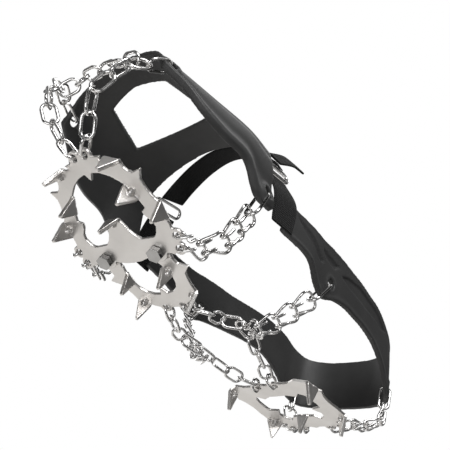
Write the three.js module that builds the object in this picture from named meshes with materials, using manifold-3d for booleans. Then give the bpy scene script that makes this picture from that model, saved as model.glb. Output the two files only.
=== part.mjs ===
// Shoe ice cleats: three toothed steel plates hang under a boot's sole on chains, which hook
// into a rubber harness round the boot's upper. Millimetres, +X towards the wearer's right,
// +Y towards the heel, +Z up, ground at z = 0. The shape is the one it has on a boot.
import * as THREE from "three";
import { mergeVertices } from "three/addons/utils/BufferGeometryUtils.js";
import Module from "manifold-3d";

const wasm = await Module();
wasm.setup();

// ---- driving dimensions ----
const SHEET = 2; // thickness of the steel plates
const TOOTH = 12.2; // tooth length below its plate
const TIP = 1.4; // width of a tooth's flat point
const HOLE_R = 2.1; // chain holes
const EAR_R = 3.9; // rounded metal round a chain hole
const WIRE_R = 0.9; // chain wire
const RING_R = 1; // wire of the rings that hang in the harness
const LINK_W = 9.4; // outer width of an oval link
const RAIL = 5.9; // half width of a ladder link at its crossbar
const HOOK = 3; // half spacing of a ladder link's two hooks
const HOOK_BEND = 2.2; // bend radius of a hook, on the wire's centre line
const RIM_BEND = 2.8; // the same round a plate's ear
const GAP = 0.3; // running clearance between neighbours
const STACK_GAP = 0.5; // between the two bolted plates
const FOLD_GAP = 2.4; // slack in the two arch chains where the cleats fold
const BAND = 3; // thickness of the rubber harness
const EYELET_R = 3.5;
const WEBBING = 1.6; // thickness of the woven strap
const BOLT_R = 2.5; // M5
const BOLT_AF = 8; // across the flats
const BOLT_SPACING = 36.6;

const rad = THREE.MathUtils.degToRad;
const vec = (x, y, z) => new THREE.Vector3(x, y, z);

// ---- materials ----
const steel = new THREE.MeshStandardMaterial({ color: 0xd0ccc6, roughness: 0.32, metalness: 1 });
const nickel = new THREE.MeshStandardMaterial({ color: 0xc9c9c7, roughness: 0.2, metalness: 1 });
const zinc = new THREE.MeshStandardMaterial({ color: 0xbfc0c0, roughness: 0.3, metalness: 1 });
const rubber = new THREE.MeshStandardMaterial({ color: 0x37373a, roughness: 0.7, metalness: 0 });
const woven = new THREE.MeshStandardMaterial({ color: 0x1c1c1f, roughness: 0.95, metalness: 0 });

const model = new THREE.Group();

function addPiece(name, geometry, material) {
  const mesh = new THREE.Mesh(geometry, material);
  mesh.name = name;
  model.add(mesh);
}

// ---- booleans ----
function solid(geometry) {
  const g = geometry.clone();
  g.deleteAttribute("normal");
  g.deleteAttribute("uv");
  const merged = mergeVertices(g, 1e-4);
  return new wasm.Manifold(
    new wasm.Mesh({
      numProp: 3,
      vertProperties: new Float32Array(merged.attributes.position.array),
      triVerts: new Uint32Array(merged.index.array),
    }),
  );
}

function geometryOf(manifold) {
  const mesh = manifold.getMesh();
  const g = new THREE.BufferGeometry();
  g.setAttribute("position", new THREE.BufferAttribute(mesh.vertProperties, 3));
  g.setIndex(new THREE.BufferAttribute(mesh.triVerts, 1));
  g.computeVertexNormals();
  return g;
}

const join = (geometries) => geometries.map(solid).reduce((a, b) => a.add(b));
const cut = (body, geometries) => geometries.map(solid).reduce((a, b) => a.subtract(b), body);

// ---- frames of the plates: u across, v towards the heel, w up from the lower face ----
function frameAt(x, y, z, yaw, pitch) {
  const turn = new THREE.Euler(rad(pitch), 0, rad(yaw), "ZXY");
  return new THREE.Matrix4().makeRotationFromEuler(turn).setPosition(x, y, z);
}

const HEEL_PITCH = 1.5;
const HEEL_STAND_V = 6.8; // the heel plate stands on its front teeth, which are this far along it
const HEEL_Z = TOOTH * Math.cos(rad(HEEL_PITCH)) - HEEL_STAND_V * Math.sin(rad(HEEL_PITCH));
const HEEL_YAW = -3.5;
const FRONT_PITCH = -16.6;
const FRONT_YAW = 6.9;
const frontFrame = frameAt(-1, -69, 15.2, FRONT_YAW, FRONT_PITCH);
const heelFrame = frameAt(-1, 71.5, HEEL_Z, HEEL_YAW, HEEL_PITCH);

// The middle plate is bolted on top of the front one, and its two arms are bent so that its
// rear teeth stand on the ground, MID_REACH behind the bend.
const BOLT_V = 4;
const BEND_V = 11.2;
const MID_REACH = 32;
const MID_YAW = FRONT_YAW - 3.3;
const bend = vec(0, BEND_V, SHEET + STACK_GAP).applyMatrix4(frontFrame);
const reachLength = Math.hypot(MID_REACH, TOOTH);
const midDrop = Math.asin(bend.z / reachLength) - Math.atan2(TOOTH, MID_REACH);
const midPitch = -THREE.MathUtils.radToDeg(midDrop);
const midFrame = frameAt(bend.x, bend.y, bend.z, MID_YAW, midPitch);

// ---- plates ----
// A half outline runs from the toe end to the heel end of the centre line, on the +u side.
// [u, v] is a corner and [cu, cv, u, v] a curve with its control point.
function halfPoints(half) {
  const path = new THREE.Path();
  path.moveTo(...half[0]);
  for (const p of half.slice(1)) {
    if (p.length === 2) path.lineTo(...p);
    else path.quadraticCurveTo(...p);
  }
  return path.getPoints(3);
}

function mirroredShape(half) {
  const right = halfPoints(half);
  const left = right
    .slice(1, -1)
    .reverse()
    .map((p) => new THREE.Vector2(-p.x, p.y));
  return new THREE.Shape([...right, ...left]);
}

const slabOf = (shape, depth, w = 0) =>
  new THREE.ExtrudeGeometry(shape, { depth, bevelEnabled: false }).translate(0, 0, w);

const OVERCUT = 1; // how far a cutter reaches past each face
const cutterOf = (shape) => slabOf(shape, SHEET + 2 * OVERCUT, -OVERCUT);

const disc = (u, v, r, depth, w = 0, sides = 20) =>
  new THREE.CylinderGeometry(r, r, depth, sides)
    .rotateX(Math.PI / 2)
    .translate(u, v, w + depth / 2);

const drill = (u, v, r, sides, w = 0) => disc(u, v, r, SHEET + 2 * OVERCUT, w - OVERCUT, sides);
const earHoles = (ears) => ears.map(([u, v]) => drill(u, v, HOLE_R, 12));

const TOOTH_OVERLAP = 0.4; // a tooth's root runs this far into its plate
const SHOULDER = 0.6; // straight part of a tooth's sides, below the plate

// A tooth is a blade bent down at its root, a to b. Its outer face is on the right of a to b.
function tooth([au, av], [bu, bv]) {
  const width = Math.hypot(bu - au, bv - av);
  const shape = new THREE.Shape();
  shape.moveTo(0, SHEET);
  shape.lineTo(0, -SHOULDER);
  shape.lineTo((width - TIP) / 2, -TOOTH);
  shape.lineTo((width + TIP) / 2, -TOOTH);
  shape.lineTo(width, -SHOULDER);
  shape.lineTo(width, SHEET);
  shape.closePath();
  const across = vec((bu - au) / width, (bv - av) / width, 0);
  const out = vec(across.y, -across.x, 0);
  const up = vec(0, 0, 1);
  const basis = new THREE.Matrix4().makeBasis(across, up, out);
  basis.setPosition(au - out.x * TOOTH_OVERLAP, av - out.y * TOOTH_OVERLAP, 0);
  return slabOf(shape, SHEET + TOOTH_OVERLAP).applyMatrix4(basis);
}

const mirrorRoot = ([a, b]) => [
  [-b[0], b[1]],
  [-a[0], a[1]],
];

function teeth(pairs, centre = []) {
  const roots = [...pairs, ...pairs.map(mirrorRoot), ...centre];
  return roots.map(([a, b]) => tooth(a, b));
}

const withTeeth = (body, pairs, centre) => teeth(pairs, centre).reduce((a, g) => a.add(solid(g)), body);

const bothSides = (list) => [...list, ...list.map(([u, v]) => [-u, v])];

const FRONT_EARS = [
  [3.8, -56.1],
  [35.2, -3.7],
  [33.3, 3.9],
];
const FRONT_OUTER = [
  [0, -56.5],
  [8, -54.2],
  [12.4, -53.6],
  [10.6, -51.2],
  [14.5, -51.5],
  [23, -47.5],
  [23.2, -43, 27, -41.3],
  [32.6, -42.2],
  [30, -37.2],
  [30.2, -31, 33, -25.4],
  [34.2, -23.6],
  [34.2, -13.4],
  [34.4, -8.6],
  [35.2, -3.7],
  [33.3, 3.9],
  [29, 7],
  [25.5, 4.6, 20, 5],
  [14, 5],
  [9, 8.4, 0, 8.3],
];
const FRONT_INNER = [
  [0, -42.3],
  [2.5, -46.5],
  [11, -45.6, 18, -37.6],
  [19, -36.5],
  [23.2, -26.8],
  [24.6, -22],
  [21.5, -20.3],
  [22.3, -17.4],
  [28, -12, 24, -7.4],
  [22.6, -5, 20.3, -5],
  [12.5, -5.2],
  [8.4, -7.2, 5, -16.6],
  [4.5, -17.6],
  [0, -17.6],
];
const FRONT_TEETH = [
  [
    [14.5, -51.5],
    [23, -47.5],
  ],
  [
    [34.2, -23.6],
    [34.2, -13.4],
  ],
  [
    [23.2, -26.8],
    [19, -36.5],
  ],
];
const FRONT_CENTRE_TOOTH = [
  [-4.5, -17.6],
  [4.5, -17.6],
];
const BOLT_U = BOLT_SPACING / 2;
const LOBE_R = 6.2;
const BOLT_HOLE_R = BOLT_R + GAP;

function frontPlate() {
  const ears = bothSides(FRONT_EARS);
  const body = join([
    slabOf(mirroredShape(FRONT_OUTER), SHEET),
    ...ears.map(([u, v]) => disc(u, v, EAR_R, SHEET)),
    ...[-1, 1].map((s) => disc(s * BOLT_U, BOLT_V, LOBE_R, SHEET)),
  ]);
  const bare = cut(body, [cutterOf(mirroredShape(FRONT_INNER))]);
  const toothed = withTeeth(bare, FRONT_TEETH, [FRONT_CENTRE_TOOTH]);
  const boltHoles = [-1, 1].map((s) => drill(s * BOLT_U, BOLT_V, BOLT_HOLE_R, 16));
  const plate = cut(toothed, [...earHoles(ears), ...boltHoles]);
  return geometryOf(plate).applyMatrix4(frontFrame);
}

const MID_EARS = [[6.5, 35.9]];
const MID_HALF = [
  [0, 19.8],
  [2.6, 25],
  [11, 24.8, 13.7, 18],
  [15.2, 12.8],
  [14.2, 4.8],
  [12.5, -0.4],
  [23.4, -0.4],
  [24.2, 4.8],
  [29.8, 8.1],
  [24.8, 12.1],
  [22.2, 18.8, 22, 26.8],
  [15.6, 32.1],
  [12, 34.3],
  [6.5, 37.3],
  [0, 36.8],
];
const MID_TEETH = [
  [
    [22, 26.8],
    [15.6, 32.1],
  ],
  [
    [15.2, 12.8],
    [14.2, 4.8],
  ],
];

const ARM_HALF_W = 5.4; // of the tabs under the bolts
const ARM_OVERLAP = 0.4; // the tabs run this far past the bend

function midPlate() {
  const ears = bothSides(MID_EARS);
  const rear = join([
    slabOf(mirroredShape(MID_HALF), SHEET),
    ...ears.map(([u, v]) => disc(u, v, EAR_R, SHEET)),
    ...teeth(MID_TEETH),
  ]);
  const drilled = geometryOf(cut(rear, earHoles(ears)));
  const arm = (s) => {
    const u = s * BOLT_U;
    const flat = new THREE.Shape();
    flat.moveTo(u - ARM_HALF_W, BOLT_V);
    flat.lineTo(u + ARM_HALF_W, BOLT_V);
    flat.lineTo(u + ARM_HALF_W, BEND_V + ARM_OVERLAP);
    flat.lineTo(u - ARM_HALF_W, BEND_V + ARM_OVERLAP);
    const w = SHEET + STACK_GAP;
    const tab = join([slabOf(flat, SHEET, w), disc(u, BOLT_V, LOBE_R, SHEET, w)]);
    return cut(tab, [drill(u, BOLT_V, BOLT_HOLE_R, 16, w)]);
  };
  const arms = [-1, 1].map((s) => geometryOf(arm(s)).applyMatrix4(frontFrame));
  return geometryOf(join([drilled.applyMatrix4(midFrame), ...arms]));
}

const HEEL_EARS = [
  [7.2, 3.2],
  [20.5, 64.5],
  [11.5, 66.5],
];
const HEEL_OUTER = [
  [0, 1.5],
  [7.2, -0.5],
  [16, 4, 24.5, -1.5],
  [32.2, 2.6],
  [33.8, 12.4],
  [35.8, 15.8],
  [31.5, 24, 32.5, 34],
  [33.2, 42, 33, 49],
  [24.5, 57],
  [21.4, 58],
  [21.6, 64.5],
  [11.5, 67],
  [5.4, 62, 0, 66.5],
];
const HEEL_INNER = [
  [0, 16.5],
  [7, 16.3],
  [13.6, 19.6],
  [17.5, 15.2],
  [20.6, 18.8],
  [22.8, 27, 21.6, 36.4],
  [14, 37.8],
  [17.6, 43.8],
  [18.4, 50, 12.3, 52.8],
  [8.9, 48.2],
  [0, 48],
];
const HEEL_TEETH = [
  [
    [32.2, 2.6],
    [33.8, 12.4],
  ],
  [
    [33, 49],
    [24.5, 57],
  ],
];
const HEEL_CENTRE_TOOTH = [
  [-4.2, 48],
  [4.2, 48],
];

function heelPlate() {
  const ears = bothSides(HEEL_EARS);
  const body = join([
    slabOf(mirroredShape(HEEL_OUTER), SHEET),
    ...ears.map(([u, v]) => disc(u, v, EAR_R, SHEET)),
  ]);
  const bare = cut(body, [cutterOf(mirroredShape(HEEL_INNER))]);
  const plate = cut(withTeeth(bare, HEEL_TEETH, [HEEL_CENTRE_TOOTH]), earHoles(ears));
  return geometryOf(plate).applyMatrix4(heelFrame);
}

// ---- bolts: the head is on the ground side, the nut on the sole side ----
const HEAD_H = 3.4;
const NUT_H = 4;
const HEX_R = BOLT_AF / Math.sqrt(3);
const NUT_W = 2 * SHEET + STACK_GAP + GAP;

function hexBolt(side) {
  const u = side * BOLT_U;
  const length = NUT_W + NUT_H + GAP;
  const bolt = join([
    disc(u, BOLT_V, HEX_R, HEAD_H, -GAP - HEAD_H, 6),
    disc(u, BOLT_V, BOLT_R, length + 1, -GAP - 1, 14),
  ]);
  return geometryOf(bolt).applyMatrix4(frontFrame);
}

function lockNut(side) {
  const u = side * BOLT_U;
  const nut = cut(solid(disc(u, BOLT_V, HEX_R, NUT_H, NUT_W, 6)), [
    disc(u, BOLT_V, BOLT_HOLE_R, NUT_H + 2, NUT_W - 1, 14),
  ]);
  return geometryOf(nut).applyMatrix4(frontFrame);
}

// ---- bent wire ----
// A sweep with one section at each given point, so that a wire spends its facets on its bends.
class WirePath extends THREE.Curve {
  constructor(points) {
    super();
    this.points = points;
  }
  getPoint(t) {
    const s = t * (this.points.length - 1);
    const i = Math.min(Math.floor(s), this.points.length - 2);
    return this.points[i].clone().lerp(this.points[i + 1], s - i);
  }
  getPointAt(t) {
    return this.getPoint(t);
  }
  getTangentAt(t) {
    const last = this.points.length - 1;
    const i = Math.round(t * last);
    const ahead = this.points[Math.min(i + 1, last)];
    return ahead.clone().sub(this.points[Math.max(i - 1, 0)]).normalize();
  }
}

function wire(points, radius, sides) {
  const round = new THREE.EllipseCurve(0, 0, radius, radius).getPoints(sides);
  const section = new THREE.Shape(round.slice(0, -1));
  return new THREE.ExtrudeGeometry(section, {
    steps: points.length - 1,
    extrudePath: new WirePath(points),
    bevelEnabled: false,
  });
}

// A closed oval of wire whose centre line runs from a to b; its flat lies along "flat".
function oval(a, b, flat, radius, width) {
  const R = width / 2 - radius;
  const stretch = Math.max(a.distanceTo(b) / 2 - R, 0);
  const g = new THREE.TorusGeometry(R, radius, 6, 8);
  const p = g.attributes.position;
  for (let i = 0; i < p.count; i++) {
    const x = p.getX(i);
    p.setX(i, Math.abs(x) < 0.01 ? x : x + Math.sign(x) * stretch);
  }
  const along = b.clone().sub(a).normalize();
  const across = flat.clone().addScaledVector(along, -flat.dot(along)).normalize();
  const basis = new THREE.Matrix4().makeBasis(along, across, along.clone().cross(across));
  return g.applyMatrix4(basis.setPosition(a.clone().add(b).multiplyScalar(0.5)));
}

// Oval links through the given contact points. A link's flat turns a quarter from one to the
// next, and the run twists a little more on its way, so that its ends lie as their holes ask.
const TOUCH = 0.78 * WIRE_R; // neighbours in one run are pressed together

const perpendicular = (v, along) => v.clone().addScaledVector(along, -v.dot(along)).normalize();

const directions = (points) => points.slice(1).map((q, i) => q.clone().sub(points[i]).normalize());

function linkFlats(points, startFlat, endFlat) {
  const along = directions(points);
  const last = along.length - 1;
  const flats = [perpendicular(startFlat, along[0])];
  for (let i = 1; i <= last; i++) {
    const turn = new THREE.Quaternion().setFromUnitVectors(along[i - 1], along[i]);
    flats.push(flats[i - 1].clone().applyQuaternion(turn).applyAxisAngle(along[i], Math.PI / 2));
  }
  const wanted = perpendicular(endFlat, along[last]);
  const side = flats[last].clone().cross(wanted).dot(along[last]);
  const twist = Math.atan(side / flats[last].dot(wanted));
  return flats.map((flat, i) => flat.clone().applyAxisAngle(along[i], (twist * i) / last));
}

function ovalRun(points, startFlat, endFlat, start, end) {
  const flats = linkFlats(points, startFlat, endFlat);
  const along = directions(points);
  const links = along.map((d, i) => {
    const before = i === 0 ? start : TOUCH;
    const after = i === along.length - 1 ? end : TOUCH;
    const from = points[i].clone().addScaledVector(d, -before);
    const to = points[i + 1].clone().addScaledVector(d, after);
    return oval(from, to, flats[i], WIRE_R, LINK_W);
  });
  return geometryOf(join(links));
}

// ---- ladder chain ----
const KNEE = 4.6; // a leg's bend, before the crossbar
const CORNER = 1.8; // how far a corner's rounding reaches
const HOOK_TAIL = 5;

// Link: one wire with a hook at each end round the bar before it, two legs and a crossbar.
function ladderLink(p, e, q, f, hookHalf, bendR, side) {
  const chain = q.clone().sub(p);
  const y = chain.clone().addScaledVector(e, -chain.dot(e)).normalize();
  const z = e.clone().cross(y).multiplyScalar(side);
  const at = (base, dy, dz) => base.clone().addScaledVector(y, dy).addScaledVector(z, dz);
  const half = (s) => {
    const a = p.clone().addScaledVector(e, s * hookHalf);
    const corner = q.clone().addScaledVector(f, s * RAIL);
    const turns = [-90, -150, -210, -270].map((angle) =>
      at(a, bendR * Math.cos(rad(angle)), bendR * Math.sin(rad(angle))),
    );
    const inward = perpendicular(chain, f);
    const knee = corner.clone().addScaledVector(inward, -KNEE);
    const legEnd = corner.clone().addScaledVector(inward, -CORNER);
    const barStart = corner.clone().addScaledVector(f, -s * CORNER);
    const mid = corner.clone().multiplyScalar(2).add(legEnd).add(barStart).multiplyScalar(0.25);
    return [at(a, HOOK_TAIL, -bendR), ...turns, knee, legEnd, mid, barStart];
  };
  return wire([...half(-1), ...half(1).reverse()], WIRE_R, 4);
}

// ---- harness ----
// A sheet of rubber or webbing: "outer" maps (0..1, 0..1) to its outer face.
function sheet(across, along, thickness, outer) {
  const g = new THREE.BoxGeometry(1, 1, 1, across, along, 1);
  const p = g.attributes.position;
  const step = 1e-3;
  const point = vec(0, 0, 0);
  for (let i = 0; i < p.count; i++) {
    const u = p.getX(i) + 0.5;
    const v = p.getY(i) + 0.5;
    const du = outer(Math.min(u + step, 1), v).sub(outer(Math.max(u - step, 0), v));
    const dv = outer(u, Math.min(v + step, 1)).sub(outer(u, Math.max(v - step, 0)));
    const normal = du.cross(dv).normalize();
    point.copy(outer(u, v)).addScaledVector(normal, (p.getZ(i) - 0.5) * thickness);
    p.setXYZ(i, point.x, point.y, point.z);
  }
  return g;
}

const curve = (points) => new THREE.CatmullRomCurve3(points.map((p) => vec(...p)));
const mirror = (p) => vec(-p.x, p.y, p.z);
const halfTurn = (points) => [...points, ...points.slice(0, -1).reverse().map(([x, y, z]) => [-x, y, z])];

// front band: lower edge, shoulder and ridge line of the +X half, from toe to instep
const frontLower = curve([
  [45, -127, 83],
  [51.5, -114, 78],
  [57, -99, 70],
  [60, -84, 67],
  [62, -66, 67],
  [60.4, -48, 56.5],
  [58, -31.5, 61],
]);
const frontShoulder = curve([
  [35, -131, 99],
  [47, -95, 97],
  [53, -64, 100],
  [53, -44, 102],
]);
const frontTop = curve([
  [0, -135, 105],
  [0, -98, 112],
  [0, -70, 118],
  [0, -50, 123],
]);

function frontSurface(t, s) {
  const low = frontLower.getPoint(t);
  const side = frontShoulder.getPoint(t);
  const top = frontTop.getPoint(t);
  return new THREE.CatmullRomCurve3([low, side, top, mirror(side), mirror(low)]).getPoint(s);
}

// the middle of a sheet's thickness at (t, s), and its outward normal there
function onSheet(surface, t, s, thickness) {
  const step = 1e-3;
  const du = surface(t + step, s).sub(surface(t - step, s));
  const dv = surface(t, s + step).sub(surface(t, s - step));
  const normal = du.cross(dv).normalize();
  return { point: surface(t, s).addScaledVector(normal, -thickness / 2), normal };
}

const PUNCH = 16; // length of the cutters that make the eyelets

function eyelet(centre, direction) {
  const g = new THREE.CylinderGeometry(EYELET_R, EYELET_R, PUNCH, 14);
  const turn = new THREE.Quaternion().setFromUnitVectors(vec(0, 1, 0), direction.clone().normalize());
  return g.applyQuaternion(turn).translate(centre.x, centre.y, centre.z);
}

// the open middle of the front band, over the toes
const TOP_WINDOW = [
  [0, -117],
  [14, -115.5, 24, -112],
  [34, -80],
  [16, -75, 0, -75],
];
const WINDOW_FROM = 90; // the window is cut upwards from this height
const WINDOW_DEPTH = 60;

function frontBand() {
  const shell = solid(sheet(12, 16, BAND, frontSurface));
  const window = slabOf(mirroredShape(TOP_WINDOW), WINDOW_DEPTH, WINDOW_FROM);
  const holes = [TOE_EYELET, FRONT_EYELET].flatMap(eyeletPair);
  return geometryOf(cut(shell, [window, ...holes]));
}

const rearLower = curve(
  halfTurn([
    [57.6, -18, 58.5],
    [60, 11, 59],
    [57, 27, 51.5],
    [55.5, 38, 50.5],
    [57, 48, 55.5],
    [57, 63, 60.5],
    [55, 80, 64.5],
    [52.5, 100, 68.5],
    [50, 122, 69],
    [48, 142, 62],
    [45.5, 157, 51],
    [40, 169, 48.5],
    [25, 179, 50],
    [0, 183, 51],
  ]),
);
const rearUpper = curve(
  halfTurn([
    [57, -16, 81.5],
    [58.5, 8, 84.5],
    [58.5, 23, 86],
    [58, 37, 89],
    [57, 53, 92],
    [56, 68, 94],
    [54.5, 84, 97],
    [52, 103, 100],
    [50, 122, 102],
    [47.5, 140, 100],
    [45, 155, 95],
    [39, 168, 92],
    [24, 178, 92],
    [0, 182, 93],
  ]),
);

const rearSurface = (t, s) => rearLower.getPoint(t).lerp(rearUpper.getPoint(t), s);

function rearBand() {
  const holes = [REAR_EYELET, HEEL_EYELET].flatMap(eyeletPair);
  return geometryOf(cut(solid(sheet(52, 2, BAND, rearSurface)), holes));
}

const TOE_EYELET = onSheet(frontSurface, 0.07, 0.12, BAND);
const FRONT_EYELET = onSheet(frontSurface, 0.93, 0.045, BAND);
const REAR_EYELET = onSheet(rearSurface, 0.127, 0.3, BAND);
const HEEL_EYELET = onSheet(rearSurface, 0.408, 0.2, BAND);
const eyeletPair = ({ point, normal }) => [
  eyelet(point, normal),
  eyelet(mirror(point), mirror(normal)),
];

// instep strap, its loose tail, the two wire buckles and the webbing down to the rear band
const BUCKLE = vec(48.1, -28.6, 102.7);
const BUCKLE_ALONG = vec(0, 0.95, 0.31);
const BUCKLE_DOWN = vec(0.3, 0.1, -0.95);
const BUCKLE_W = 10;
const BUCKLE_R = 1.2;
const STRAP_W = 22;
const TAIL_W = 17;
const TAB_CLEAR = 1.3; // from the buckle's wire to the end of a strap
const BUCKLE_SPARE = 2; // how far the buckle reaches past each edge of the strap
const tabReach = BUCKLE_W / 2 + TAB_CLEAR;

const strapEnd = BUCKLE.clone().addScaledVector(BUCKLE_DOWN, -tabReach);
const strapLine = curve([
  [-strapEnd.x, strapEnd.y, strapEnd.z],
  [-37, -30.5, 121.5],
  [-20, -34, 130],
  [0, -36, 133.5],
  [20, -34, 130],
  [37, -30.5, 121.5],
  [strapEnd.x, strapEnd.y, strapEnd.z],
]);
const strapAcross = vec(0, 0.88, 0.47).normalize();

const strapSurface = (t, s) =>
  strapLine.getPoint(t).addScaledVector(strapAcross, (s - 0.5) * STRAP_W);
const instepStrap = () => sheet(20, 1, WEBBING, strapSurface);

// the tail comes out at the +X buckle and lies back along the instep, towards the ankle
const tailLine = curve([
  [46.3, -31, 114.4],
  [47, -18.5, 124.8],
  [45, -5, 133],
]);
const tailAcross = vec(0.6, 0.2, -0.72).normalize();
const tailSurface = (t, s) =>
  tailLine.getPoint(t).addScaledVector(tailAcross, (0.5 - s) * TAIL_W);
const strapTail = () => sheet(10, 1, WEBBING, tailSurface);

function webbing() {
  const top = BUCKLE.clone().addScaledVector(BUCKLE_DOWN, tabReach);
  const corner = (reach) => top.clone().addScaledVector(BUCKLE_ALONG, reach).toArray();
  const frontEdge = curve([[59.2, -30.3, 55.5], [58.4, -35, 76], corner(-STRAP_W / 2)]);
  const rearEdge = curve([[61.3, -12.5, 57.5], [60.4, -13.5, 80], corner(STRAP_W / 2)]);
  return sheet(2, 8, WEBBING, (s, t) => frontEdge.getPoint(t).lerp(rearEdge.getPoint(t), s));
}

function buckle() {
  const reach = STRAP_W / 2 + BUCKLE_SPARE;
  const a = BUCKLE.clone().addScaledVector(BUCKLE_ALONG, -reach);
  const b = BUCKLE.clone().addScaledVector(BUCKLE_ALONG, reach);
  return oval(a, b, BUCKLE_DOWN, BUCKLE_R, BUCKLE_W);
}

function mirrored(geometry) {
  const g = mergeVertices(geometry).applyMatrix4(new THREE.Matrix4().makeScale(-1, 1, 1));
  const turned = Array.from(g.index.array);
  for (let i = 0; i < turned.length; i += 3) {
    const first = turned[i];
    turned[i] = turned[i + 1];
    turned[i + 1] = first;
  }
  g.setIndex(turned);
  g.computeVertexNormals();
  return g;
}

// ---- chain routes of the +X side; the -X side mirrors them and starts at its own holes ----
const hole = (frame, [u, v], side = 1) => vec(side * u, v, SHEET / 2).applyMatrix4(frame);

const TOE_NEAR = [
  [18.2, -129, 33],
  [22, -136, 41.5],
  [26.5, -142.5, 50.5],
  [33, -141.5, 60.5],
  [38, -139, 70.5],
  [40.5, -131.5, 79],
];
const TOE_FAR = [
  [-3, -131.5, 38],
  [-7.5, -139.8, 45.5],
  [-10.5, -146.5, 54.8],
  [-14, -149.5, 66],
  [-19, -148, 77],
  [-25.5, -145, 86.3],
  [-35.5, -135, 89],
];
const TOE_CROSS = [
  [27, -138.5, 81.5],
  [16, -139.5, 84.5],
  [5, -140.5, 86.5],
  [-6, -141, 87],
  [-14, -141, 86],
];
const CROSS_NEAR_LINK = 5;
const CROSS_NEAR_SIDE = 1;
const CROSS_FAR_LINK = 5;
const CROSS_FAR_SIDE = 1;
const FRONT_ROUTE = [
  [41.5, -54.5, 18],
  [50.5, -49, 25.5],
  [54, -47, 36],
  [56, -44.5, 48],
];
const MID_ROUTE = [
  [26, 22, 20.5],
  [34.5, 26, 28],
  [43.5, 29, 36.5],
  [52.5, 31.5, 45.5],
];
const HEEL_ROUTE = [
  [31, 141, 18],
  [35, 152, 22.5],
  [41.5, 159.5, 30],
  [41, 162.5, 42.5],
];
const ARCH_NEAR = [
  [1.5, -11, 15.8],
  [7, -1.5, 18],
  [5.5, 9.7, 21.3],
  [11.4, 19, 24.7],
  [14.2, 29.7, 21],
  [12.2, 40.5, 17.5],
  [10.5, 51.7, 14.2],
  [7.5, 62.7, 12.2],
];
const ARCH_FAR = [
  [-15.2, -11.3, 12.4],
  [-20.7, -1, 11.3],
  [-24.3, 10, 12.4],
  [-19.7, 21, 11.4],
  [-14.3, 31.3, 8.7],
  [-9, 41.8, 6.6],
  [-7, 53.4, 7.2],
  [-4.6, 64.6, 9.6],
];
const GRIP = 2.1; // half spacing of the hooks on the fold link
const GRIP_BEND = 2.5;
const FOLD_LINK = 4; // the arch chains part here, and the middle ladders hook onto this link

// The route of one side from "from" to "to". On the -X side it is mirrored, and leans over
// to its own start.
function route(points, side, from, to) {
  if (side > 0) return [from.near, ...points.map((p) => vec(...p)), to];
  const shift = from.far.clone().sub(mirror(from.near));
  const count = points.length + 1;
  const middle = points.map((p, i) => mirror(vec(...p)).addScaledVector(shift, (1 - (i + 1) / count) ** 2));
  return [from.far, ...middle, mirror(to)];
}

// toe chains, and the cross chain that joins them over the toe
const plateUp = vec(0, 0, 1).transformDirection(frontFrame);
const toeRuns = {
  near: {
    points: [hole(frontFrame, FRONT_EARS[0]), ...TOE_NEAR.map((p) => vec(...p)), TOE_EYELET.point],
    last: TOE_EYELET.normal,
  },
  far: {
    points: [hole(frontFrame, FRONT_EARS[0], -1), ...TOE_FAR.map((p) => vec(...p)), mirror(TOE_EYELET.point)],
    last: mirror(TOE_EYELET.normal),
  },
};
const toeChain = ({ points, last }) => ovalRun(points, plateUp, last, 0, 0);

// the middle of one long side of a toe chain's link, and the direction of its wire
function linkSide({ points, last }, index, sign) {
  const flat = linkFlats(points, plateUp, last)[index];
  const mid = points[index].clone().add(points[index + 1]).multiplyScalar(0.5);
  return {
    at: mid.addScaledVector(flat, sign * (LINK_W / 2 - WIRE_R)),
    wire: directions(points)[index],
  };
}

function crossChain() {
  const a = linkSide(toeRuns.near, CROSS_NEAR_LINK, CROSS_NEAR_SIDE);
  const b = linkSide(toeRuns.far, CROSS_FAR_LINK, CROSS_FAR_SIDE);
  const points = [a.at, ...TOE_CROSS.map((p) => vec(...p)), b.at];
  const along = directions(points);
  const startFlat = along[0].clone().cross(a.wire);
  const endFlat = along[along.length - 1].clone().cross(b.wire);
  const hooked = 2 * WIRE_R + GAP;
  return ovalRun(points, startFlat, endFlat, hooked, hooked);
}

// arch chain: a run from the middle plate to the fold and one from the fold to the heel plate
function archRuns(points, from, to) {
  const all = [from, ...points.map((p) => vec(...p)), to];
  const foldLink = all.slice(FOLD_LINK, FOLD_LINK + 2);
  const upright = vec(0, 0, 1);
  const flatwise = vec(1, 0, 0);
  const slack = WIRE_R + FOLD_GAP / 2;
  return {
    fore: ovalRun(all.slice(0, FOLD_LINK + 1), upright, upright, 0, slack),
    rear: ovalRun(all.slice(FOLD_LINK), flatwise, upright, slack, 0),
    foldLink,
  };
}

// the two ear holes of a plate side: the hooks bend round the metal outside them
function earRims(frame, earA, earB, side) {
  const a = hole(frame, earA, side);
  const b = hole(frame, earB, side);
  const axis = b.clone().sub(a).normalize();
  const normal = vec(0, 0, 1).transformDirection(frame);
  const out = axis.clone().cross(normal).multiplyScalar(side);
  const mid = a.clone().add(b).multiplyScalar(0.5).addScaledVector(out, RIM_BEND + GAP / 2);
  return { mid, axis, half: a.distanceTo(b) / 2 };
}

// the crossbars lie along the harness, square to the ring in its eyelet
function barAxis(points, eyeletNormal, side, hookAxis) {
  const along = points[5].clone().sub(points[4]).normalize();
  const normal = side > 0 ? eyeletNormal : mirror(eyeletNormal);
  const axis = normal.clone().cross(along).normalize();
  return axis.dot(hookAxis) < 0 ? axis.negate() : axis;
}

const SIDE_RING_W = 10.4;
const HEEL_RING_W = 9;

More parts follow.
